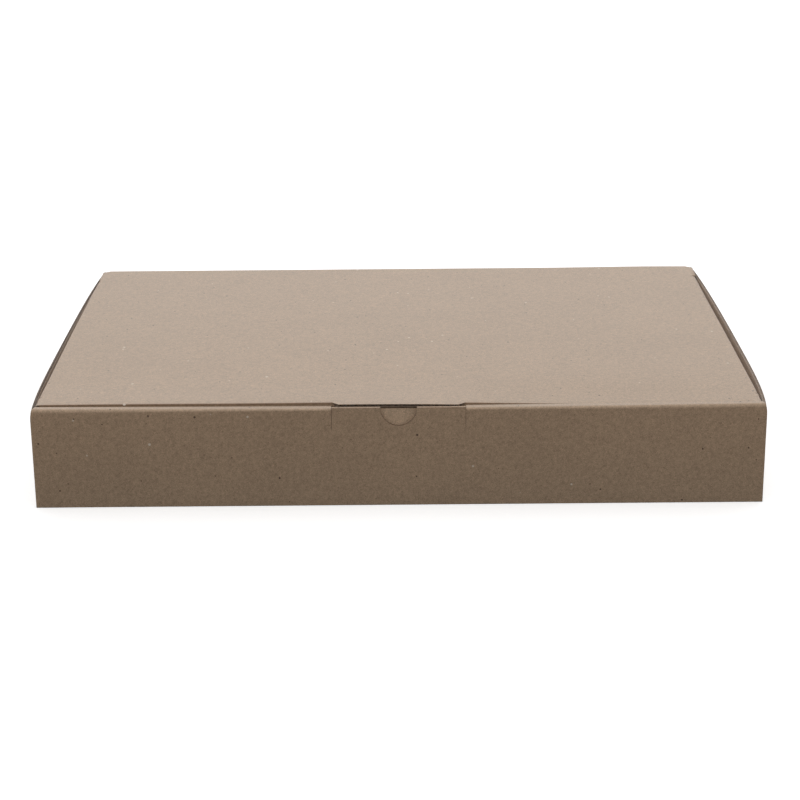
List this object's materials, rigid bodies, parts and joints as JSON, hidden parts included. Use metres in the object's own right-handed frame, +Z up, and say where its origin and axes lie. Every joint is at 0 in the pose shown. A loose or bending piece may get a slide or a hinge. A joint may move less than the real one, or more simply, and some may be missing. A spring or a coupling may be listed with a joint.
{
  "type": "large letter mailer box",
  "caption": "Flat brown corrugated mailer box with a rolled front wall and a hinged tuck-in lid that locks with a nose under a thumb notch.",
  "frame": {"origin": "middle of the underside of the closed box", "axes": "+X to the right seen from the front, +Y to the hinge at the back, +Z up"},
  "size_m": [0.3548, 0.25, 0.05],
  "materials": {
    "board_tray": "matte unbleached recycled kraft",
    "board_lid": "matte unbleached recycled kraft"
  },
  "bodies": {
    "tray": {"tray": "board_tray"},
    "lid": {"lid": "board_lid"}
  },
  "joints": [
    {"name": "lid_hinge", "type": "hinge", "parent": "tray", "child": "lid", "pos_m": [0, 0.125, 0.05], "axis": [-1, 0, 0], "range_deg": [0, 180]}
  ]
}
